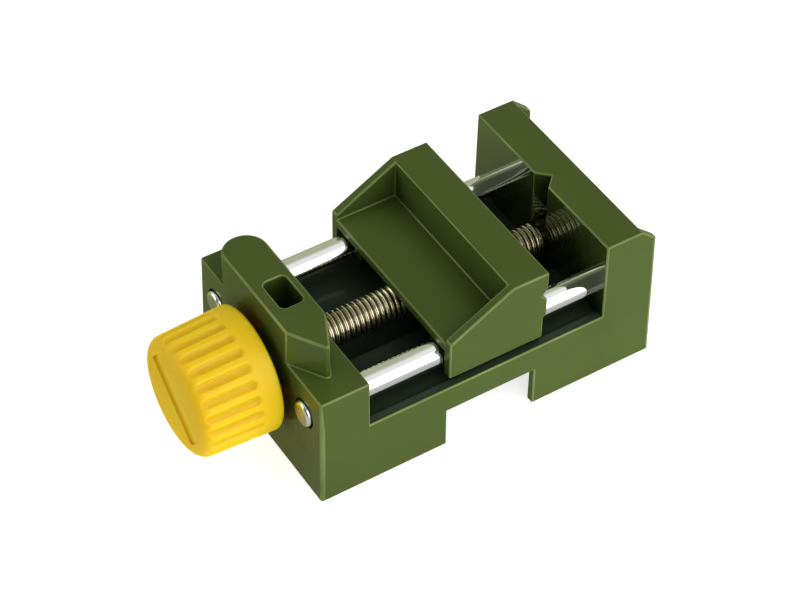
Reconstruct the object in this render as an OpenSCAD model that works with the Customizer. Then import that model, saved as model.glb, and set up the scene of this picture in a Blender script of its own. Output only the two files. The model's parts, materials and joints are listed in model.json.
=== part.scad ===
// Precision vise with two guide rods, a lead screw and a fluted knob.
// Millimetres, +Z up, +X from the knob towards the fixed jaw.

/* [Base casting] */

// Width of the base across the rods
base_w = 50; // [46:0.5:60]
// Length of the front block along the screw
block_l = 11.8; // [11.4:0.1:16]
// Free length of the bed between the front block and the fixed jaw
bed_l = 58.4; // [56:0.1:75]
// Thickness of the fixed jaw at its top
fixed_t = 9.2; // [8.6:0.1:14]
// How far the two rear cheeks stand out behind the fixed jaw
fin_l = 4.1; // [2:0.1:8]
// Thickness of each rear cheek
fin_t = 2.2; // [1.6:0.1:4]
// Height of the side rails of the bed
rail_h = 17; // [16.5:0.1:22]
// Width of the top of each side rail
rail_t = 2.2; // [1.8:0.1:2.6]
// Depth of the deck below the top of the rails
deck_drop = 0.6; // [0.3:0.1:1]
// Height of the front block above the rails
block_h = 12.3; // [11.5:0.1:18]
// Height of the fixed jaw above the rails
fixed_h = 20.3; // [17:0.1:30]
// Height of the slope at the top of the rear cheeks
fin_drop = 3.7; // [1:0.1:8]
// Wall thickness of the casting
wall = 1.6; // [1.4:0.1:2.4]
// Casting draft of the outer walls in degrees
draft = 1; // [0:0.1:2]
// Width of the channel across the underside
channel_w = 22.1; // [10:0.1:30]
// Height of the channel across the underside
channel_h = 10.2; // [5:0.1:10.4]
// Half width and depth of the V groove in the fixed jaw
vee = 2.65; // [1:0.05:3]

/* [Bridge] */

// Height of the bridge above the front block
bridge_h = 9; // [4:0.1:14]
// Length of the bridge along the screw
bridge_l = 10.2; // [9.8:0.1:11]
// Reach of the rounded far end from the screw
bridge_far = 18.5; // [14:0.1:20]
// Reach of the pointed near end from the screw
bridge_near = 19.6; // [15:0.1:21]
// Where the front edge turns into the slanted near face
bridge_turn = 10.4; // [7:0.1:12]
// Where the point of the near end lies along the screw
bridge_peak = 5.7; // [4:0.1:7]
// Rounding of the front turn and of the point
nose_r = 0.8; // [0.3:0.1:1.5]
// Rounding of the rear turn towards the point
shoulder_r = 4; // [1:0.1:6]
// Length of the slot in the bridge along the screw
slot_l = 5.4; // [4.4:0.1:6]
// Width of the slot in the bridge across the screw
slot_w = 8.5; // [7.6:0.1:10]
// Sideways offset of the slot towards the near side
slot_off = 0.65; // [0:0.05:1]
// Offset of the slot towards the jaws
slot_back = 0.7; // [0.2:0.1:1]
// Rounding of the corners of the slot
slot_r = 1.3; // [0.4:0.1:2]
// How far the retainer in the slot stands above the journal
retainer_h = 0.9; // [0.4:0.1:3]

/* [Guide rods] */

// Diameter of a guide rod
rod_d = 6; // [5:0.1:6.6]
// Distance of a rod axis from the side of the base
rod_inset = 6.8; // [6.5:0.1:8.5]
// Height of the rod axes above the rails
rod_rise = 4.2; // [4:0.1:6]
// How far a rod end stands out of the front block
rod_proud = 0.8; // [0.2:0.1:2]
// Chamfer of the front end of a rod
rod_chamfer = 0.4; // [0.2:0.1:0.6]
// Depth of the blind rod bores in the fixed jaw
rod_grip = 6.6; // [5:0.1:7]
// Width of the open ring round a rod end
ring_w = 0.45; // [0.2:0.05:0.8]
// Depth of the open ring round a rod end
ring_l = 1.2; // [0.6:0.1:1.6]
// Diameter of a rod set screw
set_screw_d = 3; // [2:0.1:4]
// Width of the hexagon socket of a set screw across its flats
key_w = 1.5; // [0.9:0.1:1.6]
// Depth of the hexagon socket of a set screw
key_l = 1.2; // [0.6:0.1:1.8]

/* [Lead screw] */

// Outside diameter of the thread
spindle_d = 8; // [7:0.1:8.6]
// Height of the screw axis below the rod axes
spindle_drop = 1.5; // [0.5:0.1:2]
// Radial step from the thread down to the front journal
journal_step = 1; // [0.6:0.1:1.2]
// Depth of the neck that the retainer sits in
neck_step = 0.8; // [0.5:0.1:1]
// Radial step from the thread down to the tail
tail_step = 1.5; // [1:0.1:2]
// Length of the tail inside the fixed jaw
tail_l = 6; // [4:0.1:7]

/* [Moving jaw] */

// Opening between the jaws at rest
jaw_open = 14; // [6:0.1:20]
// Length of the moving jaw along the screw
jaw_l = 24.25; // [22:0.05:28]
// How far each side of the moving jaw lies inside the side of the base
jaw_inset = 1.35; // [0:0.05:2.2]
// Gap between the moving jaw and the rails
jaw_clear = 1; // [0.4:0.1:1.4]
// Height of the moving jaw
jaw_h = 18.7; // [16:0.1:26]
// Length of the flat top of the moving jaw
jaw_top_l = 8.95; // [7:0.05:11]
// Height of the cheeks at the front of the tray
cheek_h = 10.1; // [9.4:0.1:13]
// Thickness of the cheeks
cheek_t = 2.1; // [1.6:0.1:3]
// Height of the tray floor above the underside of the jaw
tray_h = 8.9; // [8.6:0.1:9.3]
// Thickness of the tray floor
tray_t = 2; // [1.4:0.1:3]
// How far the clamping face overhangs the lower wall
lip_l = 0.8; // [0.4:0.05:2]
// Height of the clamping face
lip_h = 12.2; // [11.8:0.1:12.6]
// Depth of the level groove in the clamping face
groove_l = 1.4; // [0.6:0.05:2]
// Half height of the level groove in the clamping face
groove_h = 1.7; // [0.8:0.05:2.2]
// Distance of the level groove from the top of the jaw
groove_drop = 6.2; // [4:0.1:7.5]
// Thickness of the lower wall behind the hollow
back_t = 4.3; // [3:0.1:6]
// Wall of the rod guides in the moving jaw
guide_t = 1.3; // [1:0.1:1.8]
// How far the rod guides start behind the front of the jaw
guide_set = 1.5; // [0.5:0.1:4]
// Wall of the boss around the nut
boss_t = 1.2; // [1:0.1:1.6]
// Wall of the nut around the thread
nut_t = 1; // [0.8:0.1:1.2]
// Length of the nut
nut_l = 12; // [8:0.1:14]
// How far the boss reaches past the front of the nut
nut_lead = 1; // [0.4:0.1:3]

/* [Knob] */

// Length of the knob
knob_l = 18.3; // [16:0.1:26]
// Diameter of the knob at its front
knob_front_d = 27.1; // [24:0.1:32]
// Diameter of the knob at its rear
knob_rear_d = 28.5; // [26:0.1:33]
// Rounding of the front edge of the knob
knob_round = 2.9; // [0.5:0.1:3.4]
// Gap between the knob and the front block
knob_gap = 2; // [1.2:0.1:4]
// Number of flutes around the knob
flute_n = 24; // [16:1:28]
// Radius of a flute
flute_r = 1.25; // [0.8:0.05:1.4]
// Depth of a flute
flute_depth = 0.75; // [0.3:0.05:0.8]
// Length of the plain band behind the flutes
band_l = 4.6; // [2:0.1:7]
// Length of the sunk field on the knob face
field_l = 20; // [8:0.1:20.5]
// Width of the sunk field on the knob face
field_w = 4.4; // [2:0.1:7]
// Depth of the sunk field on the knob face
field_depth = 0.5; // [0.2:0.1:1]
// Angle of the sunk field from level
field_turn = 40; // [0:1:90]
// Angle of the first flute from straight down
flute_turn = 9.5; // [0:0.5:20]
// Wall thickness of the knob
knob_t = 2.8; // [2.2:0.1:3.6]
// Thickness of the front of the knob
face_t = 3.4; // [2.4:0.1:5]
// Rounding of the rear rim of the knob
rim_r = 0.9; // [0.3:0.1:1.2]
// Rounding of the corners of the sunk field
field_r = 0.6; // [0.2:0.1:0.9]
// Wall of the hub around the insert
hub_t = 2; // [1.4:0.1:3]
// Length of the insert
insert_l = 9; // [7:0.1:11]
// Wall of the insert around the journal, at its corners
insert_t = 2; // [1.6:0.1:3]
// Radial step from the journal down to the end in the knob
spigot_step = 0.5; // [0.3:0.1:0.8]
// How far that end reaches past the insert
spigot_tip = 1; // [0.4:0.1:2]
// Diameter of the cross pin
pin_d = 1.8; // [1.4:0.1:2]
// Width of the ring of the thrust washer
washer_w = 3; // [2:0.1:5]

/* [Hidden] */

$fn = 96;
eps = 0.5;
gap = 0.3;
run = 0.06;
fit = 0.01;
hair = 0.05;

rod_r = rod_d / 2;
rod_y = base_w / 2 - rod_inset;
rod_z = rail_h + rod_rise;
spindle_r = spindle_d / 2;
spindle_z = rod_z - spindle_drop;
journal_r = spindle_r - journal_step;
neck_r = journal_r - neck_step;
tail_r = spindle_r - tail_step;
nut_r = spindle_r + run + nut_t;
boss_r = nut_r + boss_t;
guide_r = rod_r + run + guide_t;
set_r = set_screw_d / 2;
key_r = key_w / 2 / cos(30);

fixed_x = block_l + bed_l;
fin_x = fixed_x + fixed_t;
base_l = fin_x + fin_l;
block_z = rail_h + block_h;
bridge_z = block_z + bridge_h;
fixed_z = rail_h + fixed_h;
fin_z = fixed_z - fin_drop;
crown_z = max(bridge_z, fixed_z) + eps;
deck_z = min(rail_h - deck_drop, rod_z - guide_r - gap);
deck_under = deck_z - wall;
trough_z = spindle_z - boss_r - 2 * gap;
trough_w = 2 * (boss_r + 2 * gap);
trough_under = trough_z - wall;
channel_top = min(channel_h, trough_under - gap);
channel_x = (base_l - channel_w) / 2;
channel_end = channel_x + channel_w;
rod_end = fixed_x + rod_grip;
rod_l = rod_end + rod_proud;

slot_x = (bridge_l - slot_l) / 2 + slot_back;
slot_mid = slot_x + slot_l / 2;
slot_z = spindle_z - journal_r - run - gap;
retainer_z = spindle_z + journal_r + retainer_h;
far_r = bridge_l / 2 - hair;

jaw_w = base_w - 2 * jaw_inset;
jaw_x1 = fixed_x - jaw_open;
jaw_x0 = jaw_x1 - jaw_l;
jaw_z = rail_h + jaw_clear;
jaw_top = jaw_z + jaw_h;
groove_z = jaw_top - groove_drop;
tray_z = jaw_z + tray_h;
tray_x = jaw_x1 - jaw_top_l - gap;
tray_w = jaw_w - 2 * cheek_t;
lower_x = jaw_x1 - lip_l;
hollow_x = lower_x - back_t;
guide_x0 = jaw_x0 + guide_set;
guide_x1 = jaw_x1 - gap;
nut_x = hollow_x - nut_l;
boss_x = nut_x - nut_lead;

knob_x1 = -knob_gap;
knob_x0 = knob_x1 - knob_l;
knob_r0 = knob_front_d / 2;
knob_r1 = knob_rear_d / 2;
taper = atan((knob_r1 - knob_r0) / knob_l);
washer_r = journal_r + washer_w;
insert_r = journal_r + insert_t;
spigot_r = journal_r - spigot_step;
spigot_l = insert_l + spigot_tip;
pin_r = pin_d / 2;
pin_l = 2 * insert_r * cos(30) - 2 * gap;
hub_r = insert_r + hub_t;
thread_x0 = block_l + gap;
thread_x1 = fixed_x - gap;
set_front_x = slot_mid;
set_rear_x = fixed_x + rod_grip / 2;
mid_x = (base_l - lean(0) + knob_x0) / 2;

// Which sub-part to draw

function lean(z) = (z - rail_h) * tan(draft);
function unit(v) = v / norm(v);
function prev(p, i) = p[(i + len(p) - 1) % len(p)];
function next(p, i) = p[(i + 1) % len(p)];
function half(p, i) = acos(unit(prev(p, i) - p[i]) * unit(next(p, i) - p[i])) / 2;
function back_to(p, i, r) = p[i] + unit(prev(p, i) - p[i]) * r / tan(half(p, i));
function on_to(p, i, r) = p[i] + unit(next(p, i) - p[i]) * r / tan(half(p, i));
function centre(p, i, r) =
  p[i] + unit(unit(prev(p, i) - p[i]) + unit(next(p, i) - p[i])) * r / sin(half(p, i));

// Convex outline with a true arc at each corner that has a radius
module rounded(p, r) {
  polygon([for (i = [0 : len(p) - 1]) each
    (r[i] > 0 ? [back_to(p, i, r[i]), on_to(p, i, r[i])] : [p[i]])]);
  for (i = [0 : len(p) - 1]) {
    if (r[i] > 0) translate(centre(p, i, r[i])) circle(r[i]);
  }
}

// Moves the model so that the origin is under the middle of its length
module placed() {
  translate([-mid_x, 0, 0]) children();
}

// Round bar along the screw from x0 to x1
module bar(x0, x1, y, z, r) {
  translate([x0, y, z]) rotate([0, 90, 0]) cylinder(h = x1 - x0, r = r);
}

// Box from one corner to the other
module box(a, b) {
  translate(a) cube(b - a);
}

// Side profile given in X and Z, pulled across the width
module across(w) {
  rotate([90, 0, 0]) linear_extrude(w, center = true) children();
}

// End profile given in Y and Z, pulled along the screw past both ends
module along(l) {
  translate([-l / 2, 0, 0]) rotate([90, 0, 90]) linear_extrude(2 * l) children();
}

// Space inside the drafted outer walls
module envelope() {
  foot = lean(0);
  head = lean(crown_z);
  intersection() {
    across(2 * base_w) polygon([[foot, 0], [base_l - foot, 0], [base_l - head, crown_z], [head, crown_z]]);
    along(base_l) polygon([[foot - base_w / 2, 0], [base_w / 2 - foot, 0],
      [base_w / 2 - head, crown_z], [head - base_w / 2, crown_z]]);
  }
}

module base_outer() {
  across(2 * base_w) polygon([[-wall, 0], [base_l + wall, 0],
    [base_l + wall, fin_z - fin_drop * wall / fin_l], [fin_x, fixed_z], [fixed_x, fixed_z],
    [fixed_x, rail_h], [block_l, rail_h], [block_l, block_z], [-wall, block_z]]);
}

module bridge() {
  translate([0, 0, block_z - eps]) linear_extrude(bridge_h + eps)
    rounded([[0, -bridge_turn], [bridge_peak, -bridge_near], [bridge_l, -bridge_turn],
      [bridge_l, bridge_far], [0, bridge_far]],
      [nose_r, nose_r, shoulder_r, far_r, far_r]);
}

module slot_shape(c) {
  translate([slot_mid, -slot_off]) rounded([[-slot_l / 2 + c, -slot_w / 2 + c],
    [slot_l / 2 - c, -slot_w / 2 + c], [slot_l / 2 - c, slot_w / 2 - c],
    [-slot_l / 2 + c, slot_w / 2 - c]], [slot_r, slot_r, slot_r, slot_r]);
}

// Open pocket in the underside, round the bottom of the trough
module underside() {
  difference() {
    box([wall, -base_w / 2 + wall, -eps], [fin_x - wall, base_w / 2 - wall, deck_under]);
    box([block_l - wall, -trough_w / 2 - wall, trough_under],
      [fixed_x + wall, trough_w / 2 + wall, deck_z]);
  }
}

module base_casting() color("DarkOliveGreen") placed() difference() {
  intersection() {
    union() {
      base_outer();
      bridge();
    }
    envelope();
  }
  underside();
  box([block_l, -base_w / 2 + rail_t, deck_z], [fixed_x, base_w / 2 - rail_t, rail_h + eps]);
  box([block_l, -trough_w / 2, trough_z], [fixed_x, trough_w / 2, deck_z + eps]);
  box([channel_x, -base_w, -eps], [channel_end, base_w, channel_top]);
  box([fin_x, -base_w / 2 + fin_t, -eps], [base_l + eps, base_w / 2 - fin_t, fixed_z + eps]);
  translate([0, 0, deck_z]) linear_extrude(fixed_z) polygon([[fixed_x - eps, -vee - eps],
    [fixed_x + vee, 0], [fixed_x - eps, vee + eps]]);
  for (s = [-1, 1]) {
    bar(-eps, block_l + eps, s * rod_y, rod_z, rod_r + fit);
    bar(-eps, ring_l, s * rod_y, rod_z, rod_r + ring_w);
    bar(fixed_x - eps, rod_end, s * rod_y, rod_z, rod_r + fit);
    for (x = [set_front_x, set_rear_x]) {
      translate([x, s * rod_y, deck_under - eps]) cylinder(h = rod_z - deck_under, r = set_r + fit);
    }
  }
  bar(-eps, block_l + eps, 0, spindle_z, journal_r + run);
  bar(fixed_x - eps, fixed_x + tail_l + gap, 0, spindle_z, tail_r + run);
  translate([0, 0, slot_z]) linear_extrude(bridge_z) slot_shape(0);
}

module guide_rod(s) color("Silver") placed()
  translate([-rod_proud, s * rod_y, rod_z]) rotate([0, 90, 0]) rotate_extrude()
    polygon([[0, 0], [rod_r - rod_chamfer, 0], [rod_r, rod_chamfer], [rod_r, rod_l], [0, rod_l]]);

module guide_rod_near() guide_rod(-1);

module guide_rod_far() guide_rod(1);

module set_screw(x, s) color("DimGray") placed() difference() {
  translate([x, s * rod_y, deck_under]) cylinder(h = rod_z - rod_r - deck_under, r = set_r);
  translate([x, s * rod_y, deck_under - eps]) cylinder(h = eps + key_l, r = key_r, $fn = 6);
}

module set_screw_front_near() set_screw(set_front_x, -1);

module set_screw_front_far() set_screw(set_front_x, 1);

module set_screw_rear_near() set_screw(set_rear_x, -1);

module set_screw_rear_far() set_screw(set_rear_x, 1);

module spindle_retainer() color("SlateGray") placed() difference() {
  translate([0, 0, slot_z]) linear_extrude(retainer_z - slot_z) slot_shape(run);
  bar(0, bridge_l, 0, spindle_z, neck_r + run);
  box([0, -neck_r - run, slot_z - eps], [bridge_l, neck_r + run, spindle_z]);
}

module jaw_side() {
  polygon([[jaw_x0, jaw_z], [lower_x, jaw_z], [lower_x, jaw_top - lip_h - lip_l],
    [jaw_x1, jaw_top - lip_h], [jaw_x1, groove_z - groove_h], [jaw_x1 - groove_l, groove_z],
    [jaw_x1, groove_z + groove_h], [jaw_x1, jaw_top], [jaw_x1 - jaw_top_l, jaw_top],
    [jaw_x0, jaw_z + cheek_h]]);
}

module moving_jaw() color("OliveDrab") placed() difference() {
  union() {
    difference() {
      across(jaw_w) jaw_side();
      box([jaw_x0 - eps, -tray_w / 2, tray_z], [tray_x, tray_w / 2, jaw_top + eps]);
      box([jaw_x0 - eps, -tray_w / 2, jaw_z - eps], [hollow_x, tray_w / 2, tray_z - tray_t]);
    }
    for (s = [-1, 1]) bar(guide_x0, guide_x1, s * rod_y, rod_z, guide_r);
    bar(boss_x, lower_x, 0, spindle_z, boss_r);
  }
  for (s = [-1, 1]) bar(jaw_x0 - eps, jaw_x1 + eps, s * rod_y, rod_z, rod_r + run);
  bar(boss_x - eps, hollow_x, 0, spindle_z, nut_r + fit);
  bar(jaw_x0 - eps, jaw_x1 + eps, 0, spindle_z, spindle_r + gap);
}

module spindle_nut() color("Goldenrod") placed() difference() {
  bar(nut_x, hollow_x, 0, spindle_z, nut_r);
  bar(nut_x - eps, hollow_x + eps, 0, spindle_z, spindle_r + run);
}

module spindle() color("LightSteelBlue") placed() difference() {
  union() {
    bar(knob_x1 - spigot_l, knob_x1 + eps, 0, spindle_z, spigot_r);
    bar(knob_x1, slot_mid - slot_l / 2, 0, spindle_z, journal_r);
    bar(slot_mid - slot_l / 2 - eps, slot_mid + slot_l / 2 + eps, 0, spindle_z, neck_r);
    bar(slot_mid + slot_l / 2, thread_x0 + eps, 0, spindle_z, journal_r);
    bar(thread_x0, thread_x1, 0, spindle_z, spindle_r);
    bar(thread_x1 - eps, fixed_x + tail_l, 0, spindle_z, tail_r);
  }
  pin_hole();
}

// Cross hole for the pin through the insert and the spindle
module pin_hole() {
  translate([knob_x1 - insert_l / 2, 0, spindle_z]) rotate([90, 0, 0])
    cylinder(h = 2 * hub_r, r = pin_r + fit, center = true);
}

module flute() {
  translate([knob_r0 + flute_r - flute_depth, 0, 0]) rotate([0, taper, 0]) union() {
    translate([0, 0, -eps]) cylinder(h = knob_l - band_l - flute_r + eps, r = flute_r);
    translate([0, 0, knob_l - band_l - flute_r]) sphere(flute_r);
  }
}

module knob() color("Gold") placed() translate([knob_x0, 0, spindle_z]) rotate([0, 90, 0])
  difference() {
  rotate_extrude() rounded([[0, 0], [knob_r0, 0], [knob_r1, knob_l], [0, knob_l]],
    [0, knob_round, rim_r, 0]);
  for (i = [0 : flute_n - 1]) rotate([0, 0, flute_turn + i * 360 / flute_n]) flute();
  rotate([0, 0, field_turn]) translate([0, 0, -eps]) linear_extrude(eps + field_depth)
    rounded([[-field_w / 2, -field_l / 2], [field_w / 2, -field_l / 2], [field_w / 2, field_l / 2],
      [-field_w / 2, field_l / 2]], [field_r, field_r, field_r, field_r]);
  translate([0, 0, face_t]) difference() {
    cylinder(h = knob_l, r = knob_r0 - knob_t);
    cylinder(h = knob_l, r = hub_r);
  }
  translate([0, 0, knob_l - insert_l]) cylinder(h = insert_l + eps, r = insert_r + fit, $fn = 6);
  translate([0, 0, knob_l - spigot_l - gap]) cylinder(h = knob_l, r = spigot_r + fit);
}

module knob_insert() color("Gold") placed() difference() {
  translate([knob_x1 - insert_l, 0, spindle_z]) rotate([0, 90, 0])
    cylinder(h = insert_l, r = insert_r, $fn = 6);
  bar(knob_x1 - insert_l - eps, knob_x1 + eps, 0, spindle_z, spigot_r + fit);
  pin_hole();
}

module knob_pin() color("DarkGray") placed() translate([knob_x1 - insert_l / 2, 0, spindle_z])
  rotate([90, 0, 0]) cylinder(h = pin_l, r = pin_r, center = true);

module thrust_washer() color("DimGray") placed() difference() {
  bar(knob_x1, -gap, 0, spindle_z, washer_r);
  bar(knob_x1 - eps, eps, 0, spindle_z, journal_r + fit);
}

base_casting();
guide_rod_near();
guide_rod_far();
set_screw_front_near();
set_screw_front_far();
set_screw_rear_near();
set_screw_rear_far();
spindle_retainer();
moving_jaw();
spindle_nut();
spindle();
knob();
knob_insert();
knob_pin();
thrust_washer();
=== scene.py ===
"""Looks of the precision vise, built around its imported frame. Metres, +Z up, +X towards the fixed jaw."""

import json
import math

import bmesh
import bpy
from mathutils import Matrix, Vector


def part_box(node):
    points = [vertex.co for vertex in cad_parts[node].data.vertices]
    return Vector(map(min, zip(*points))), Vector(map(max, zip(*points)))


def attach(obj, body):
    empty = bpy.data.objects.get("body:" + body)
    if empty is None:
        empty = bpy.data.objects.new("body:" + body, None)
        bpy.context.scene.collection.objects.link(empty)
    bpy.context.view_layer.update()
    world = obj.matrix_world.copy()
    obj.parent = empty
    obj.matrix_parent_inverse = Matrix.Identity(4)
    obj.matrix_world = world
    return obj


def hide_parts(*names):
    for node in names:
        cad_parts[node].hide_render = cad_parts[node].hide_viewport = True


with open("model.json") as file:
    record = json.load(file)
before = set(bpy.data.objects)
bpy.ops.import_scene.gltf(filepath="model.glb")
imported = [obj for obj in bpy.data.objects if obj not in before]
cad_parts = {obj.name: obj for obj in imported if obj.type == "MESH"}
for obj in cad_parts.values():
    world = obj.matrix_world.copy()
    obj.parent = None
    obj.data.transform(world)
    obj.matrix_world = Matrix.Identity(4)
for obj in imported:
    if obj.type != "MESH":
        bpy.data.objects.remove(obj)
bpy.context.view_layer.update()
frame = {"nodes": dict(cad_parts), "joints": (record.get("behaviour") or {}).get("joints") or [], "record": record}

MM = 0.001
NODES = frame["nodes"]
BEHAVIOUR = frame["record"]["behaviour"]
BODY_OF = {node: body for body, nodes in BEHAVIOUR["bodies"].items() for node in nodes}
SLOT_OF = {part["node"]: part["material_slot"] for part in frame["record"]["subparts"]}
SCREW_JOINT = next(joint for joint in frame["joints"] if joint["name"] == "spindle_turn")
SCREW_Z = SCREW_JOINT["pos_m"][2]
PITCH = 2 * math.pi / BEHAVIOUR["couplings"][0]["ratio"]


# Shape tools

HAIR = 0.004 * MM
WELD = 0.001 * MM
Y_AXIS, Z_AXIS = 1, 2


def middle(node):
    """Centre of a node's box."""
    low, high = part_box(node)
    return (low + high) / 2


def new_object(name, data):
    """A new object in the scene."""
    thing = bpy.data.objects.new(name, data)
    bpy.context.scene.collection.objects.link(thing)
    return thing


def stand_for(piece, node):
    """Makes a piece stand for a node, on the node's body, and hides the node's own part."""
    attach(piece, BODY_OF[node])
    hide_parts(node)


def piece_of(shape, name, node, materials, smooth_angle):
    """A piece from a finished shape that stands for a node. Edges up to the angle look smooth."""
    bmesh.ops.recalc_face_normals(shape, faces=shape.faces)
    mesh = bpy.data.meshes.new(name)
    shape.to_mesh(mesh)
    shape.free()
    mesh.shade_smooth()
    mesh.set_sharp_from_angle(angle=smooth_angle)
    for material in materials:
        mesh.materials.append(material)
    stand_for(new_object(name, mesh), node)


def bare_shape(node):
    """An editable copy of the node's own mesh without its stored normals."""
    source = NODES[node].data
    bare = bpy.data.meshes.new("bare")
    bare.from_pydata([v.co for v in source.vertices], [], [face.vertices for face in source.polygons])
    shape = bmesh.new()
    shape.from_mesh(bare)
    bpy.data.meshes.remove(bare)
    bmesh.ops.remove_doubles(shape, verts=shape.verts, dist=WELD)
    return shape


def keep_faces(node, keep):
    """An editable copy of the node's own mesh with only the faces whose points keep accepts."""
    shape = bare_shape(node)
    lost = [face for face in shape.faces if not all(keep(vert.co) for vert in face.verts)]
    bmesh.ops.delete(shape, geom=lost, context="FACES")
    return shape


def ring(shape, x, radius, y, z, count):
    """A ring of vertices round an axis along X."""
    turn = 2 * math.pi / count
    return [
        shape.verts.new((x, y + radius * math.cos(i * turn), z + radius * math.sin(i * turn)))
        for i in range(count)
    ]


def skin(shape, one, two):
    """Quads between two closed rings."""
    count = len(one)
    for i in range(count):
        after = (i + 1) % count
        shape.faces.new((one[i], one[after], two[after], two[i]))


def lathe(outline, y, z, count):
    """A closed turned solid about an axis along X. The outline holds pairs of x and radius."""
    shape = bmesh.new()
    rings = [ring(shape, x, radius, y, z, count) for x, radius in outline]
    for one, two in zip(rings, rings[1:]):
        skin(shape, one, two)
    shape.faces.new(rings[0])
    shape.faces.new(rings[-1])
    return shape


# Shader tools

def tree_of(name):
    """A new material with its node tree, shader and object coordinates."""
    material = bpy.data.materials.new(name)
    material.use_nodes = True
    tree = material.node_tree
    shader = tree.nodes["Principled BSDF"]
    place = tree.nodes.new("ShaderNodeTexCoord").outputs["Object"]
    return material, tree, shader, place


def parts_of(tree, place):
    """The three coordinates of a place."""
    split = tree.nodes.new("ShaderNodeSeparateXYZ")
    tree.links.new(place, split.inputs["Vector"])
    return split.outputs


def noise_of(tree, place, scale, detail, stretch=(1, 1, 1)):
    """Noise of a scale in cycles per metre, squeezed along the axes by stretch."""
    mapping = tree.nodes.new("ShaderNodeMapping")
    mapping.inputs["Scale"].default_value = stretch
    tree.links.new(place, mapping.inputs["Vector"])
    noise = tree.nodes.new("ShaderNodeTexNoise")
    noise.inputs["Scale"].default_value = scale
    noise.inputs["Detail"].default_value = detail
    noise.inputs["Roughness"].default_value = 0.5
    tree.links.new(mapping.outputs["Vector"], noise.inputs["Vector"])
    return noise.outputs["Fac"]


def spread(tree, value, low, high, out_low, out_high):
    """Maps a value from one range to another."""
    node = tree.nodes.new("ShaderNodeMapRange")
    for name, number in (("From Min", low), ("From Max", high), ("To Min", out_low), ("To Max", out_high)):
        node.inputs[name].default_value = number
    tree.links.new(value, node.inputs["Value"])
    return node.outputs["Result"]


def vary(tree, noise, low, high, reach=0.2):
    """Maps noise to a range. The reach is how far most of the noise goes to each side of its mean."""
    return spread(tree, noise, 0.5 - reach, 0.5 + reach, low, high)


def maths(tree, operation, *values):
    """The result of a maths node. Each value is a link or a number."""
    node = tree.nodes.new("ShaderNodeMath")
    node.operation = operation
    for socket, value in zip(node.inputs, values):
        if isinstance(value, (int, float)):
            socket.default_value = value
        else:
            tree.links.new(value, socket)
    return node.outputs["Value"]


def mixed(tree, share, one, two):
    """A colour between two, by a share from 0 to 1. Each of the two is a link or a plain colour."""
    node = tree.nodes.new("ShaderNodeMix")
    node.data_type = "RGBA"
    tree.links.new(share, node.inputs["Factor"])
    for name, colour in (("A", one), ("B", two)):
        if isinstance(colour, tuple):
            node.inputs[name].default_value = (*colour, 1)
        else:
            tree.links.new(colour, node.inputs[name])
    return node.outputs["Result"]


def dimmed(tree, colour, factor):
    """A colour times a factor."""
    node = tree.nodes.new("ShaderNodeMix")
    node.data_type = "RGBA"
    node.blend_type = "MULTIPLY"
    node.inputs["Factor"].default_value = 1
    tree.links.new(colour, node.inputs["A"])
    tree.links.new(factor, node.inputs["B"])
    return node.outputs["Result"]


def painted_shade(tree, reach, low, high, least):
    """A factor that falls in corners and gaps: painted shade that stands in for the shade there."""
    hollow = tree.nodes.new("ShaderNodeAmbientOcclusion")
    hollow.samples = 8
    hollow.inputs["Distance"].default_value = reach
    return spread(tree, hollow.outputs["AO"], low, high, least, 1)


def bump_of(tree, shader, height, strength, distance):
    """Bumps the shader's normal by a height."""
    node = tree.nodes.new("ShaderNodeBump")
    node.inputs["Strength"].default_value = strength
    node.inputs["Distance"].default_value = distance
    tree.links.new(height, node.inputs["Height"])
    tree.links.new(node.outputs["Normal"], shader.inputs["Normal"])


# Materials

# Noise scales in cycles per metre, depths of bumps, and how far the painted shade in gaps reaches
PAINT_MOTTLE, PAINT_HAZE, PAINT_PEEL = 55, 160, 500
PAINT_GAP, PAINT_FOOT, PEEL_DEPTH = 18 * MM, (9 * MM, 16 * MM), 0.04 * MM
METAL_LINES, THREAD_LINES, LINE_DEPTH = 900, 1600, 0.01 * MM
PLASTIC_FLOW, PLASTIC_GRAIN = 90, 1500
PLASTIC_GAP, GRAIN_DEPTH, GLOW_DEPTH = 1.6 * MM, 0.03 * MM, 5 * MM
# Radii of the thread between which it changes from painted shade in its roots to its own colour on the crests
ROOT_SHADE_R, CREST_COLOUR_R = 3.28 * MM, 3.8 * MM
# The part of the knob whose face is darkened by painted shade
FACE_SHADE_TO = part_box("knob")[0].x + 2.4 * MM
FACE_SHADE_FROM = FACE_SHADE_TO - 2 * MM
FACE_SHADE_FACTOR = 0.86


def paint(name, dark, light, rough, gloss=0.2, tint=(1, 1, 1), depth=(0.25, 0.65, 0.45)):
    """Gloss paint with slight mottling and a fine orange peel, darkened in gaps by painted shade. Its depth says
    how that painted shade darkens it.
    """
    material, tree, shader, place = tree_of(name)
    mottle = noise_of(tree, place, PAINT_MOTTLE, detail=4)
    colour = mixed(tree, vary(tree, mottle, 0, 1, reach=0.15), dark, light)
    # The floor is no gap, so the painted shade fades out close to it and the paint keeps its colour there.
    foot = spread(tree, parts_of(tree, place)["Z"], *PAINT_FOOT, 1, 0)
    dusk = maths(tree, "MAXIMUM", painted_shade(tree, PAINT_GAP, *depth), foot)
    tree.links.new(dimmed(tree, colour, dusk), shader.inputs["Base Color"])
    haze = noise_of(tree, place, PAINT_HAZE, detail=5)
    tree.links.new(vary(tree, haze, rough * 0.8, rough * 1.25), shader.inputs["Roughness"])
    shader.inputs["Specular IOR Level"].default_value = gloss
    shader.inputs["Specular Tint"].default_value = (*tint, 1)
    bump_of(tree, shader, noise_of(tree, place, PAINT_PEEL, detail=1), strength=0.05, distance=PEEL_DEPTH)
    return material


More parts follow.
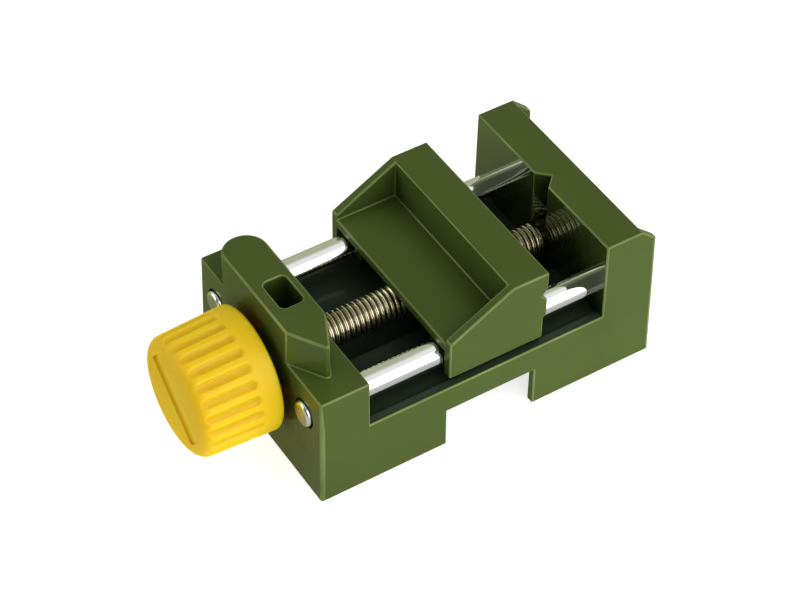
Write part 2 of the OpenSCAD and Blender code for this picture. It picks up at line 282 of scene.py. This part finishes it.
def metal(name, colour, worn, rough, stretch, bump=0.1):
    """Worked metal with fine lines along or around the stretch axes."""
    material, tree, shader, place = tree_of(name)
    lines = noise_of(tree, place, METAL_LINES, detail=4, stretch=stretch)
    tree.links.new(mixed(tree, vary(tree, lines, 0, 1), worn, colour), shader.inputs["Base Color"])
    tree.links.new(vary(tree, lines, rough + 0.05, rough - 0.03), shader.inputs["Roughness"])
    shader.inputs["Metallic"].default_value = 1
    bump_of(tree, shader, lines, strength=bump, distance=LINE_DEPTH)
    return material


def thread_steel(name, crest, root_shade, rough):
    """Turned steel in its own colour on the crests of the thread, with painted shade that darkens its roots."""
    material, tree, shader, place = tree_of(name)
    way = parts_of(tree, place)
    across = tree.nodes.new("ShaderNodeCombineXYZ")
    tree.links.new(way["Y"], across.inputs["Y"])
    tree.links.new(maths(tree, "SUBTRACT", way["Z"], SCREW_Z), across.inputs["Z"])
    reach = tree.nodes.new("ShaderNodeVectorMath")
    reach.operation = "LENGTH"
    tree.links.new(across.outputs["Vector"], reach.inputs[0])
    # Painted shade: the roots of the thread are darker than its crests.
    rise = spread(tree, reach.outputs["Value"], ROOT_SHADE_R, CREST_COLOUR_R, 0, 1)
    tree.links.new(mixed(tree, rise, root_shade, crest), shader.inputs["Base Color"])
    lines = noise_of(tree, place, THREAD_LINES, detail=3, stretch=(1, 0.15, 0.15))
    tree.links.new(vary(tree, lines, rough + 0.08, rough - 0.04), shader.inputs["Roughness"])
    shader.inputs["Metallic"].default_value = 1
    bump_of(tree, shader, lines, strength=0.1, distance=LINE_DEPTH)
    return material


def plastic(name, dark, light, rough):
    """Moulded plastic with a faint flow mottling and a fine grain, darkened by painted shade in its flutes and
    recess and on the knob's face.
    """
    material, tree, shader, place = tree_of(name)
    flow = noise_of(tree, place, PLASTIC_FLOW, detail=3, stretch=(0.6, 1, 1))
    colour = mixed(tree, vary(tree, flow, 0, 1), dark, light)
    # Painted shade in the flutes and the sunk field.
    colour = dimmed(tree, colour, painted_shade(tree, PLASTIC_GAP, low=0.45, high=0.95, least=0.6))
    # Painted shade that darkens the knob's face.
    face_shade = spread(tree, parts_of(tree, place)["X"], FACE_SHADE_FROM, FACE_SHADE_TO, FACE_SHADE_FACTOR, 1)
    tree.links.new(dimmed(tree, colour, face_shade), shader.inputs["Base Color"])
    grain = noise_of(tree, place, PLASTIC_GRAIN, detail=3)
    tree.links.new(vary(tree, grain, rough - 0.05, rough + 0.06), shader.inputs["Roughness"])
    shader.inputs["Specular IOR Level"].default_value = 0.25
    shader.inputs["Subsurface Weight"].default_value = 0.85
    shader.inputs["Subsurface Radius"].default_value = (1, 0.75, 0.2)
    shader.inputs["Subsurface Scale"].default_value = GLOW_DEPTH
    bump_of(tree, shader, grain, strength=0.12, distance=GRAIN_DEPTH)
    return material


OLIVE = paint("olive_paint", (0.059, 0.0885, 0.0148), (0.0655, 0.0975, 0.0174), rough=0.18)
# A lighter paint on the rounded edges: a painted highlight, also darkened in gaps by painted shade.
EDGE_HIGHLIGHT = paint(
    "olive_paint_edge_highlight", (0.085, 0.12, 0.025), (0.18, 0.225, 0.065),
    rough=0.3, gloss=0.5, tint=(0.9, 1, 0.6), depth=(0.35, 0.85, 0.3),
)
# The polished clamping faces: their gloss is real, while their darker colour and strong darkening in gaps are
# painted shade.
FACE_SHADED = paint(
    "clamping_face_shaded_paint", (0.04, 0.06, 0.011), (0.045, 0.067, 0.0125),
    rough=0.03, gloss=2.4, tint=(0.9, 1, 0.8), depth=(0.35, 0.85, 0.12),
)
# A near-black paint on the bed between the jaws: painted shade, not the paint's own colour.
BED_SHADE = paint("bed_shade_paint", (0.027, 0.04, 0.025), (0.033, 0.047, 0.029), rough=0.1, gloss=0.04)
CHROME = metal("chrome", (0.9, 0.9, 0.9), (0.84, 0.84, 0.84), rough=0.06, stretch=(0.05, 1, 1), bump=0.03)
CUT_END = metal("cut_rod_end", (0.56, 0.56, 0.54), (0.45, 0.45, 0.42), rough=0.3, stretch=(1, 0.3, 0.3))
THREAD = thread_steel("thread_steel", (0.79, 0.72, 0.54), (0.1, 0.088, 0.055), rough=0.22)
BLACK_STEEL = metal("black_steel", (0.05, 0.05, 0.052), (0.08, 0.08, 0.08), rough=0.35, stretch=(1, 1, 1))
BRASS = metal("brass", (0.8, 0.58, 0.24), (0.66, 0.45, 0.16), rough=0.24, stretch=(1, 0.1, 0.1))
YELLOW = plastic("yellow_plastic", (0.84, 0.54, 0.004), (0.88, 0.575, 0.008), rough=0.45)


# Castings

# The widest rounding, and the share of it that each kind of edge gets
ROUNDING, ROUND_STEPS = 1 * MM, 3
POST_SHARE, SIDE_SHARE, BRIDGE_SHARE = 0.9, 0.45, 0.45
EDGE_SHARE, FOOT_SHARE, VEE_SHARE = 0.35, 0.3, 0.1
JAW_SHARE, TRAY_SHARE, STRIP_SHARE = 0.4, 0.35, 0.2
# Angles between faces, and parts of a face's normal
FLAT_ANGLE, SHARP_ANGLE, DRAFT_ANGLE = math.radians(0.3), math.radians(25), math.radians(35)
CAST_SMOOTH = math.radians(38)
STRAIGHT, FACING = 0.999, 0.5
# Axes that run through the castings, and how far the edges of their bores lie from them
ROD_AXES = [middle("guide_rod_near").yz, middle("guide_rod_far").yz]
SCREW_AXIS = Vector((0, SCREW_Z))
ROD_REACH, SCREW_REACH = 5.5 * MM, 7.2 * MM
# A level through the bores of both rods and the screw
SCREW_LEVEL = (SCREW_Z + middle("guide_rod_near").z) / 2
# Places on the base, how far its sides lean in, and how far its rear end reaches
BASE_LOW, BASE_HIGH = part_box("base_casting")
LEAN, REAR_REACH = 1.2 * MM, 6 * MM
POST_H, VEE_H, VEE_DEPTH = 12 * MM, 5 * MM, 3 * MM
BED_LOW, RAIL_TOP, RAIL_W = 12 * MM, 17 * MM, 2.4 * MM
BLOCK_TOP = 29.3 * MM
BLOCK_END = BASE_LOW.x + 11.8 * MM
BRIDGE_LOW = BLOCK_TOP + 1 * MM
BRIDGE_CUT = -0.5 * MM
FOOT_ROOM = 0.85 * MM
SLOT_EDGE = Vector((0.1, 0.1, 0)) * MM
SLOT_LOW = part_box("spindle_retainer")[0] - SLOT_EDGE
SLOT_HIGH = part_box("spindle_retainer")[1] + SLOT_EDGE
# Places on the moving jaw, and the fixed jaw's face across the opening
JAW_OPEN = 14 * MM
JAW_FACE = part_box("moving_jaw")[1].x
FIXED_FACE = JAW_FACE + JAW_OPEN
TRAY_FLOOR, TRAY_BACK = 26.9 * MM, 15.2 * MM
STRIP_RISE, STRIP_NEAR = 8 * MM, 0.1 * MM
SEAM_X, SEAM_HALF, SEAM_RISE = 21.45 * MM, 0.3 * MM, 0.09 * MM


def in_bore(edge):
    """Whether an edge lies close round a rod or the screw."""
    ends = [v.co.yz for v in edge.verts]
    at_rod = any(all((end - axis).length < ROD_REACH for end in ends) for axis in ROD_AXES)
    return at_rod or all((end - SCREW_AXIS).length < SCREW_REACH for end in ends)


def recut(shape, pick, axis, at):
    """Joins the picked flat faces and parts them along one plane through their holes instead."""
    point, normal = Vector((0, 0, 0)), Vector((0, 0, 0))
    point[axis], normal[axis] = at, 1
    faces = [face for face in shape.faces if pick(face)]
    edges = list({edge for face in faces for edge in face.edges})
    verts = list({vert for face in faces for vert in face.verts})
    bmesh.ops.bisect_plane(shape, geom=faces + edges + verts, dist=HAIR, plane_co=point, plane_no=normal)
    shape.normal_update()
    picked = {face for face in shape.faces if pick(face)}
    inner = [
        edge for edge in shape.edges
        if len(edge.link_faces) == 2 and all(face in picked for face in edge.link_faces)
        and any(abs(vert.co[axis] - at) > HAIR for vert in edge.verts)
    ]
    bmesh.ops.dissolve_edges(shape, edges=inner, use_verts=False)


def weighted_mesh(node, weight_of, cuts, materials, finish_of):
    """A copy of the node's own mesh in large faces, with weights on its edges and finishes on its faces."""
    shape = bare_shape(node)
    bmesh.ops.dissolve_limit(shape, angle_limit=FLAT_ANGLE, verts=shape.verts, edges=shape.edges)
    for cut in cuts:
        recut(shape, *cut)
    layer = shape.edges.layers.float.new("bevel_weight_edge")
    for edge in shape.edges:
        sharp = edge.is_manifold and edge.calc_face_angle() > SHARP_ANGLE
        edge[layer] = weight_of(edge) if sharp and not in_bore(edge) else 0
    for face in shape.faces:
        face.material_index = materials.index(finish_of(face))
    mesh = bpy.data.meshes.new(node + "_sharp")
    for material in materials:
        mesh.materials.append(material)
    shape.to_mesh(mesh)
    shape.free()
    return mesh


def rounded(piece):
    """A piece's mesh with its weighted edges rounded and given a lighter paint, a painted highlight."""
    bevel = piece.modifiers.new("rounding", "BEVEL")
    bevel.limit_method = "WEIGHT"
    bevel.width = ROUNDING
    bevel.segments = ROUND_STEPS
    bevel.use_clamp_overlap = False
    # The rounded faces get the lighter edge paint, a painted highlight.
    bevel.material = piece.data.materials.find(EDGE_HIGHLIGHT.name)
    graph = bpy.context.evaluated_depsgraph_get()
    mesh = bpy.data.meshes.new_from_object(piece.evaluated_get(graph))
    piece.modifiers.clear()
    return mesh


def raise_seam(mesh, x, high):
    """Raises the fine line that the parting of the mould leaves on the top and sides of a casting."""
    shape = bmesh.new()
    shape.from_mesh(mesh)
    for at in (x - SEAM_HALF, x, x + SEAM_HALF):
        everything = shape.verts[:] + shape.edges[:] + shape.faces[:]
        bmesh.ops.bisect_plane(shape, geom=everything, dist=HAIR, plane_co=(at, 0, 0), plane_no=(1, 0, 0))
    shape.normal_update()
    for vert in shape.verts:
        outside = vert.co.z > high.z - ROUNDING or abs(vert.co.y) > high.y - ROUNDING
        if outside and abs(vert.co.x - x) < HAIR:
            vert.co += Vector((0, vert.normal.y, vert.normal.z)).normalized() * SEAM_RISE
    shape.to_mesh(mesh)
    shape.free()


def casting(node, weight_of, cuts, materials, finish_of, seam_x=None):
    """A casting with rounded edges, made from a copy of the node's own mesh. It may have a seam."""
    sharp = weighted_mesh(node, weight_of, cuts, materials, finish_of)
    piece = new_object(node + "_cast", sharp)
    mesh = rounded(piece)
    mesh.name = node + "_cast"
    if seam_x is not None:
        raise_seam(mesh, seam_x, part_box(node)[1])
    piece.data = mesh
    bpy.data.meshes.remove(sharp)
    mesh.shade_smooth()
    mesh.set_sharp_from_angle(angle=CAST_SMOOTH)
    flat = piece.modifiers.new("flat_faces", "WEIGHTED_NORMAL")
    flat.keep_sharp = True
    stand_for(piece, node)


def looks_along(face):
    """Whether a face looks straight along the screw."""
    return abs(face.normal.x) > STRAIGHT


def on_bridge_top(face):
    """Whether a face is part of the flat top of the bridge."""
    at = face.calc_center_median()
    return face.normal.z > STRAIGHT and at.z > BRIDGE_LOW and at.x < 0


def in_slot(co):
    """Whether a point lies in the slot of the bridge, seen from above."""
    return SLOT_LOW.x < co.x < SLOT_HIGH.x and SLOT_LOW.y < co.y < SLOT_HIGH.y


def base_weight(edge):
    """How round an edge of the base is: most at its corner posts, and not at all inside and at holes."""
    one, two = (v.co for v in edge.verts)
    low, high = min(one.z, two.z), max(one.z, two.z)
    front, rear = min(one.x, two.x), max(one.x, two.x)
    outer = min(abs(one.y), abs(two.y)) > BASE_HIGH.y - LEAN
    at_ends = rear < BASE_LOW.x + LEAN or front > BASE_HIGH.x - REAR_REACH
    if not edge.is_convex:
        at_foot = abs(low - BLOCK_TOP) < HAIR and abs(high - BLOCK_TOP) < HAIR
        has_room = front > BASE_LOW.x + FOOT_ROOM or max(one.y, two.y) < 0
        return FOOT_SHARE if at_foot and has_room else 0
    if high < RAIL_TOP + HAIR and not outer and not at_ends:
        return 0
    if outer and high - low > POST_H:
        return POST_SHARE if at_ends else SIDE_SHARE
    if low > BRIDGE_LOW and rear < BLOCK_END and not (in_slot(one) and in_slot(two)):
        return BRIDGE_SHARE
    in_vee = not outer and front > FIXED_FACE - HAIR and high - low > VEE_H
    return VEE_SHARE if in_vee else EDGE_SHARE


def base_finish(face):
    """The bed gets a dark paint that is painted shade, the clamping face is polished and darkened by painted
    shade, and the rest is olive.
    """
    at, look = face.calc_center_median(), face.normal
    over_bed = BLOCK_END - HAIR < at.x < FIXED_FACE + HAIR and BED_LOW < at.z < RAIL_TOP + HAIR
    inner = abs(at.y) < BASE_HIGH.y - RAIL_W
    if over_bed and (look.z > FACING or inner and abs(look.y) > FACING):
        return BED_SHADE
    clamps = look.x < -FACING and FIXED_FACE - HAIR < at.x < FIXED_FACE + VEE_DEPTH and at.z > RAIL_TOP
    return FACE_SHADED if clamps else OLIVE


def jaw_weight(edge):
    """The outer edges of the moving jaw are rounded, and its tray has soft corners."""
    low = min(v.co.z for v in edge.verts)
    if not edge.is_convex:
        return TRAY_SHARE if low > TRAY_FLOOR - HAIR else 0
    if edge.calc_face_angle() < DRAFT_ANGLE:
        return 0
    at_back = all(abs(v.co.x - TRAY_BACK) < STRIP_NEAR for v in edge.verts)
    return STRIP_SHARE if at_back and low > TRAY_FLOOR + STRIP_RISE else JAW_SHARE


def jaw_finish(face):
    """The clamping face is polished and darkened by painted shade, and the rest is olive."""
    clamps = face.normal.x > FACING and face.calc_center_median().x > JAW_FACE - HAIR
    return FACE_SHADED if clamps else OLIVE


END_CUT = (looks_along, Z_AXIS, SCREW_LEVEL)
TOP_CUT = (on_bridge_top, Y_AXIS, BRIDGE_CUT)
casting("base_casting", base_weight, [TOP_CUT, END_CUT], (OLIVE, EDGE_HIGHLIGHT, BED_SHADE, FACE_SHADED), base_finish)
casting("moving_jaw", jaw_weight, [END_CUT], (OLIVE, EDGE_HIGHLIGHT, FACE_SHADED), jaw_finish, SEAM_X)


# Guide rods

ROD_ROUND, ROD_STEPS, ROD_SIDES = 0.7 * MM, 5, 96
ROD_SMOOTH = math.radians(30)


def rod_outline(low, high, radius):
    """Outline of a rod between two planes, with a rounded front end and a chamfer at its hidden end."""
    turns = [math.pi / 2 * i / ROD_STEPS for i in range(ROD_STEPS + 1)]
    front = [
        (low + ROD_ROUND * (1 - math.cos(turn)), radius - ROD_ROUND * (1 - math.sin(turn)))
        for turn in turns
    ]
    return front + [(high - ROD_ROUND, radius), (high, radius - ROD_ROUND)]


def guide_rod(node):
    """A chromed rod with plain cut ends."""
    low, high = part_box(node)
    at = middle(node)
    bar = lathe(rod_outline(low.x, high.x, (high.z - low.z) / 2), at.y, at.z, ROD_SIDES)
    for face in bar.faces:
        is_end = len(face.verts) == ROD_SIDES
        face.material_index = 1 if is_end else 0
    piece_of(bar, node + "_bar", node, [CHROME, CUT_END], ROD_SMOOTH)


guide_rod("guide_rod_near")
guide_rod("guide_rod_far")


# Lead screw

THREAD_COUNT, THREAD_SPARE = 64, 4
THREAD_R, THREAD_ROOT = 4 * MM, 3.22 * MM
THREAD_END_R, THREAD_RUN = 3.28 * MM, 0.6 * MM
THREAD_L = 57.8 * MM
# Points of one coil, as shares of the pitch and of the thread's height
THREAD_FORM = [(0, 0), (0.16, 0), (0.46, 0.92), (0.53, 1), (0.63, 1), (0.7, 0.92)]
THREAD_WELD = 0.002 * MM
THREAD_SMOOTH = math.radians(35)
JOURNAL_R = 3 * MM
TAIL_R, TAIL_L = 2.5 * MM, 6.3 * MM


def from_axis(co):
    """Distance of a point from the screw's axis."""
    return (co.yz - SCREW_AXIS).length


def fill_ring(shape, x, radius):
    """Closes the flat open ring at x, outside the given radius or at it."""
    def at_ring(vert):
        """Whether a vertex may be part of the ring."""
        return abs(vert.co.x - x) < HAIR and from_axis(vert.co) > radius - HAIR

    rim = [edge for edge in shape.edges if edge.is_boundary and all(at_ring(vert) for vert in edge.verts)]
    bmesh.ops.triangle_fill(shape, edges=rim, use_beauty=True)


def thread_point(shape, turn, x, radius, low, high):
    """A point of the thread, drawn in to the plain ends of the threaded part."""
    reach = max(min(x - low, high - x), 0)
    x = min(max(x, low), high)
    radius = THREAD_END_R + (radius - THREAD_END_R) * min(reach / THREAD_RUN, 1)
    return shape.verts.new((x, radius * math.cos(turn), SCREW_Z + radius * math.sin(turn)))


def thread(shape, low, high):
    """A left-hand thread between two planes, one row of points for each step round the axis."""
    turns = int((high - low) / PITCH) + THREAD_SPARE
    columns = []
    for step in range(THREAD_COUNT):
        part = step / THREAD_COUNT
        columns.append([
            thread_point(
                shape, 2 * math.pi * part, low + PITCH * (coil - 1 - part + at),
                THREAD_ROOT + rise * (THREAD_R - THREAD_ROOT), low, high,
            )
            for coil in range(turns) for at, rise in THREAD_FORM
        ])
    # After a full turn, each point meets the one that is a pitch away in the first row.
    columns.append([None] * len(THREAD_FORM) + columns[0][:-len(THREAD_FORM)])
    for one, two in zip(columns, columns[1:]):
        for i in range(len(one) - 1):
            corners = (one[i], one[i + 1], two[i + 1], two[i])
            if None not in corners:
                shape.faces.new(corners)
    bmesh.ops.remove_doubles(shape, verts=shape.verts, dist=THREAD_WELD)


def screw_mesh():
    """The plain ends of the screw from its own mesh, with the thread between them."""
    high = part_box("spindle")[1].x - TAIL_L
    low = high - THREAD_L

    def is_plain(co):
        """Whether a point belongs to a plain end."""
        return from_axis(co) < JOURNAL_R + HAIR and (co.x < low + HAIR or co.x > high - HAIR)

    shape = keep_faces("spindle", is_plain)
    thread(shape, low, high)
    fill_ring(shape, low, JOURNAL_R)
    fill_ring(shape, high, TAIL_R)
    return shape


# Knob

KNOB_X, KNOB_END = (corner.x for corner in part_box("knob"))
KNOB_L = KNOB_END - KNOB_X
KNOB_FRONT_R, KNOB_REAR_R = 13.55 * MM, 14.25 * MM
KNOB_ROUND, KNOB_RIM = 2.9 * MM, 0.9 * MM
FRONT_STEPS, SIDE_STEPS, RIM_STEPS = 12, 40, 6
FLUTES, FLUTE_STEPS = 24, 16
FLUTE_R, FLUTE_DEPTH, FLUTE_END = 1.25 * MM, 0.75 * MM, 12.45 * MM
FLUTE_TURN, FLUTE_SOFT = math.radians(9.5), 0.16 * MM
FIELD_L, FIELD_W, FIELD_R = 20 * MM, 4.4 * MM, 0.6 * MM
FIELD_TURN, FIELD_CORNER_STEPS = math.radians(40), 6
# Rings of the sunk field from its lip to its floor, as growth and depth
FIELD_STEPS = [
    (0.34 * MM, 0), (0.17 * MM, 0.03 * MM), (0.06 * MM, 0.11 * MM), (0.01 * MM, 0.24 * MM),
    (-0.03 * MM, 0.5 * MM), (-0.09 * MM, 0.6 * MM), (-0.2 * MM, 0.64 * MM),
]
HOLLOW_R, HOLLOW_START = 10.75 * MM, 1 * MM
TAPER = (KNOB_REAR_R - KNOB_FRONT_R) / KNOB_L
TAPER_TURN = math.atan(TAPER)
KNOB_SMOOTH = math.radians(50)


def knob_corner(x, radius, first, last, steps):
    """Arc of the knob's profile at one of its ends, as distances along and from the axis."""
    from_centre = KNOB_FRONT_R + TAPER * x - radius / math.cos(TAPER_TURN)
    turns = [first + (last - first) * i / steps for i in range(steps + 1)]
    return [(x + radius * math.cos(turn), from_centre + radius * math.sin(turn)) for turn in turns]


def knob_profile():
    """The knob's outer profile from the edge of its face to its rear rim."""
    side = math.pi / 2 + TAPER_TURN
    front = knob_corner(KNOB_ROUND, KNOB_ROUND, math.pi, side, FRONT_STEPS)
    rear = knob_corner(KNOB_L - KNOB_RIM, KNOB_RIM, side, 0, RIM_STEPS)
    start, stop = front[-1][0], rear[0][0]
    steps = [start + (stop - start) * i / SIDE_STEPS for i in range(1, SIDE_STEPS)]
    return front + [(x, KNOB_FRONT_R + TAPER * x) for x in steps] + rear


def soft_min(one, two, width):
    """The lesser of two values, with a soft change between them."""
    close = max(width - abs(one - two), 0) / width
    return min(one, two) - close * close * width / 4


def fluted(x, radius, turn):
    """Radius of the knob's skin where a flute may run through it. The turn is from the flute's middle."""
    axis = KNOB_FRONT_R + FLUTE_R - FLUTE_DEPTH + TAPER * x
    past = max(x - FLUTE_END, 0)
    room = FLUTE_R ** 2 - past ** 2 - (axis * math.sin(turn)) ** 2
    if room <= 0:
        return radius
    return soft_min(radius, axis * math.cos(turn) - math.sqrt(room), FLUTE_SOFT)


def knob_point(shape, x, one, two):
    """A point of the knob. The first way is straight down and the second is to the far side."""
    return shape.verts.new((KNOB_X + x, two, SCREW_Z - one))


def knob_ring(shape, x, radius):
    """A ring of the knob's skin."""
    count = FLUTES * FLUTE_STEPS
    points = []
    for i in range(count):
        offset = (i % FLUTE_STEPS) / FLUTE_STEPS
        turn = 2 * math.pi / FLUTES * (offset - round(offset))
        reach = fluted(x, radius, turn)
        angle = FLUTE_TURN + 2 * math.pi * i / count
        points.append(knob_point(shape, x, reach * math.cos(angle), reach * math.sin(angle)))
    return points


def field_ring(shape, grow, depth):
    """A ring of the sunk field on the knob's face, with rounded corners."""
    cos_tilt, sin_tilt = math.cos(FIELD_TURN), math.sin(FIELD_TURN)
    radius = FIELD_R + grow
    points = []
    for corner, (side_u, side_v) in enumerate(((1, 1), (-1, 1), (-1, -1), (1, -1))):
        for i in range(FIELD_CORNER_STEPS + 1):
            turn = math.pi / 2 * (corner + i / FIELD_CORNER_STEPS)
            u = side_u * (FIELD_W / 2 - FIELD_R) + radius * math.cos(turn)
            v = side_v * (FIELD_L / 2 - FIELD_R) + radius * math.sin(turn)
            one, two = u * cos_tilt - v * sin_tilt, u * sin_tilt + v * cos_tilt
            points.append(knob_point(shape, depth, one, two))
    return points


def ring_edges(shape, points):
    """The edges of a closed ring of points."""
    return [shape.edges.get(pair) for pair in zip(points, points[1:] + points[:1])]


def in_hollow(co):
    """Whether a point belongs to the hollow and the hub at the rear of the knob."""
    return from_axis(co) < HOLLOW_R + HAIR and co.x > KNOB_X + HOLLOW_START


def knob_mesh():
    """The knob's skin and face, closed by the hollow and hub of its own mesh."""
    shape = keep_faces("knob", in_hollow)
    rings = [knob_ring(shape, x, radius) for x, radius in knob_profile()]
    for one, two in zip(rings, rings[1:]):
        skin(shape, one, two)
    fields = [field_ring(shape, grow, depth) for grow, depth in FIELD_STEPS]
    for one, two in zip(fields, fields[1:]):
        skin(shape, one, two)
    shape.faces.new(fields[-1])
    face_edges = ring_edges(shape, rings[0]) + ring_edges(shape, fields[0])
    bmesh.ops.triangle_fill(shape, edges=face_edges, use_beauty=True)
    fill_ring(shape, KNOB_END, HOLLOW_R)
    return shape


piece_of(screw_mesh(), "spindle_thread", "spindle", [THREAD], THREAD_SMOOTH)
piece_of(knob_mesh(), "knob_skin", "knob", [YELLOW], KNOB_SMOOTH)


# Small hardware, whose solids are right as they are

FINISH = {"dark_steel": BLACK_STEEL, "brass": BRASS}

for node in (
    "set_screw_front_near", "set_screw_front_far", "set_screw_rear_near", "set_screw_rear_far",
    "spindle_retainer", "spindle_nut", "knob_insert", "knob_pin", "thrust_washer",
):
    finish = FINISH[SLOT_OF[node]]
    for slot in NODES[node].material_slots:
        slot.material = finish


# Stage

WHITE = (1, 1, 1)
# Colours of the room as light and in mirrors. Ramps are parts of a direction.
WALLS, CEILING, FRONT = (1.08, 1.08, 1.08), (0.47, 0.47, 0.47), (0.22, 0.22, 0.22)
CEILING_RAMP, FRONT_RAMP = (0, 0.8), (-0.95, -0.1)
MIRROR_NEAR, MIRROR_FAR = (0.9, 0.9, 0.89), (0.45, 0.48, 0.34)
MIRROR_FRONT, MIRROR_FAR_FRONT = (0.2, 0.21, 0.17), (0.66, 0.72, 0.5)
MIRROR_FAR_RAMP, MIRROR_FRONT_RAMP = (0.1, 0.5), (-0.3, 0.1)
# The floor, whose ramps are places on it
FLOOR_REACH = 3.0
FLOOR_COLOUR, FLOOR_FAR = (0.6, 0.6, 0.6), (0.44, 0.5, 0.24)
FLOOR_FAR_RAMP, FLOOR_LIGHT_RAMP = (-0.03, 0.04), (-0.12, 0.02)
FLOOR_SEEN, FLOOR_LIGHT, FLOOR_DIM = 0.75, 1.35, 0.25
# Lamps, and the camera as fitted to the photo
KEY_AT, KEY_SIZE, KEY_POWER = (0.2, -0.82, 0.56), 1.1, 7.3
FILL_AT, FILL_SIZE, FILL_POWER = (-0.74, 0.52, 0.4), 0.8, 2.8
CAMERA_AT = (-201.7 * MM, -316.1 * MM, 409.4 * MM)
CAMERA_TURN = (44.003, -0.6445, -32.2515)
CAMERA_LENS, CAMERA_SENSOR = 114.09, 36


def area_light(name, at, size, power):
    """A square soft light aimed at the middle of the vise."""
    lamp = bpy.data.lights.new(name, "AREA")
    lamp.size = size
    lamp.energy = power
    thing = new_object(name, lamp)
    thing.location = at
    thing.rotation_euler = (middle("base_casting") - Vector(at)).to_track_quat("-Z", "Y").to_euler()


def studio_world():
    """A white room with bright walls, a dim ceiling and a dim front. Its far side is dim in reflections."""
    world = bpy.data.worlds.new("studio")
    world.use_nodes = True
    tree = world.node_tree
    way = parts_of(tree, tree.nodes.new("ShaderNodeTexCoord").outputs["Generated"])
    light = mixed(tree, spread(tree, way["Z"], *CEILING_RAMP, 0, 1), WALLS, CEILING)
    light = mixed(tree, spread(tree, way["X"], *FRONT_RAMP, 1, 0), light, FRONT)
    to_far = spread(tree, way["Y"], *MIRROR_FAR_RAMP, 0, 1)
    mirrored = mixed(
        tree, spread(tree, way["X"], *MIRROR_FRONT_RAMP, 1, 0),
        mixed(tree, to_far, MIRROR_NEAR, MIRROR_FAR),
        mixed(tree, to_far, MIRROR_FRONT, MIRROR_FAR_FRONT),
    )
    path = tree.nodes.new("ShaderNodeLightPath").outputs
    found = mixed(tree, path["Is Glossy Ray"], light, mirrored)
    shown = mixed(tree, path["Is Camera Ray"], found, WHITE)
    tree.links.new(shown, tree.nodes["Background"].inputs["Color"])
    bpy.context.scene.world = world


def floor_material():
    """A pale matt surface that glows to stay white round the shadow and to light the vise from below, shows an
    olive far side only in reflections as a painted reflection tint, and is open from below.
    """
    material, tree, shader, place = tree_of("pale_floor")
    way = parts_of(tree, place)
    path = tree.nodes.new("ShaderNodeLightPath").outputs
    # The far side is olive only as seen in reflections: a painted reflection tint.
    in_mirrors = mixed(tree, spread(tree, way["Y"], *FLOOR_FAR_RAMP, 0, 1), FLOOR_COLOUR, FLOOR_FAR)
    colour = mixed(tree, path["Is Glossy Ray"], FLOOR_COLOUR, in_mirrors)
    tree.links.new(colour, shader.inputs["Base Color"])
    shader.inputs["Roughness"].default_value = 0.9
    shader.inputs["Specular IOR Level"].default_value = 0.1
    shader.inputs["Emission Color"].default_value = (*WHITE, 1)
    light = spread(tree, way["X"], *FLOOR_LIGHT_RAMP, FLOOR_DIM, FLOOR_LIGHT)
    seen = spread(tree, path["Is Camera Ray"], 0, 1, 0, FLOOR_SEEN)
    glow = maths(tree, "MULTIPLY_ADD", path["Is Diffuse Ray"], light, seen)
    tree.links.new(glow, shader.inputs["Emission Strength"])
    open_below = tree.nodes.new("ShaderNodeMixShader")
    tree.links.new(tree.nodes.new("ShaderNodeNewGeometry").outputs["Backfacing"], open_below.inputs["Fac"])
    tree.links.new(shader.outputs["BSDF"], open_below.inputs[1])
    tree.links.new(tree.nodes.new("ShaderNodeBsdfTransparent").outputs["BSDF"], open_below.inputs[2])
    tree.links.new(open_below.outputs["Shader"], tree.nodes["Material Output"].inputs["Surface"])
    return material


def floor():
    """A plain floor that keeps the shadow."""
    mesh = bpy.data.meshes.new("floor")
    corners = [(x * FLOOR_REACH, y * FLOOR_REACH, 0) for x, y in ((-1, -1), (1, -1), (1, 1), (-1, 1))]
    mesh.from_pydata(corners, [], [(0, 1, 2, 3)])
    mesh.materials.append(floor_material())
    new_object("floor", mesh)


def camera():
    """The photograph's viewpoint."""
    lens = bpy.data.cameras.new("camera")
    lens.sensor_width = CAMERA_SENSOR
    lens.lens = CAMERA_LENS
    thing = new_object("camera", lens)
    thing.location = CAMERA_AT
    thing.rotation_euler = [math.radians(angle) for angle in CAMERA_TURN]
    bpy.context.scene.camera = thing


studio_world()
floor()
camera()
area_light("key", KEY_AT, KEY_SIZE, KEY_POWER)
area_light("fill", FILL_AT, FILL_SIZE, FILL_POWER)
bpy.context.scene.view_settings.view_transform = "Standard"
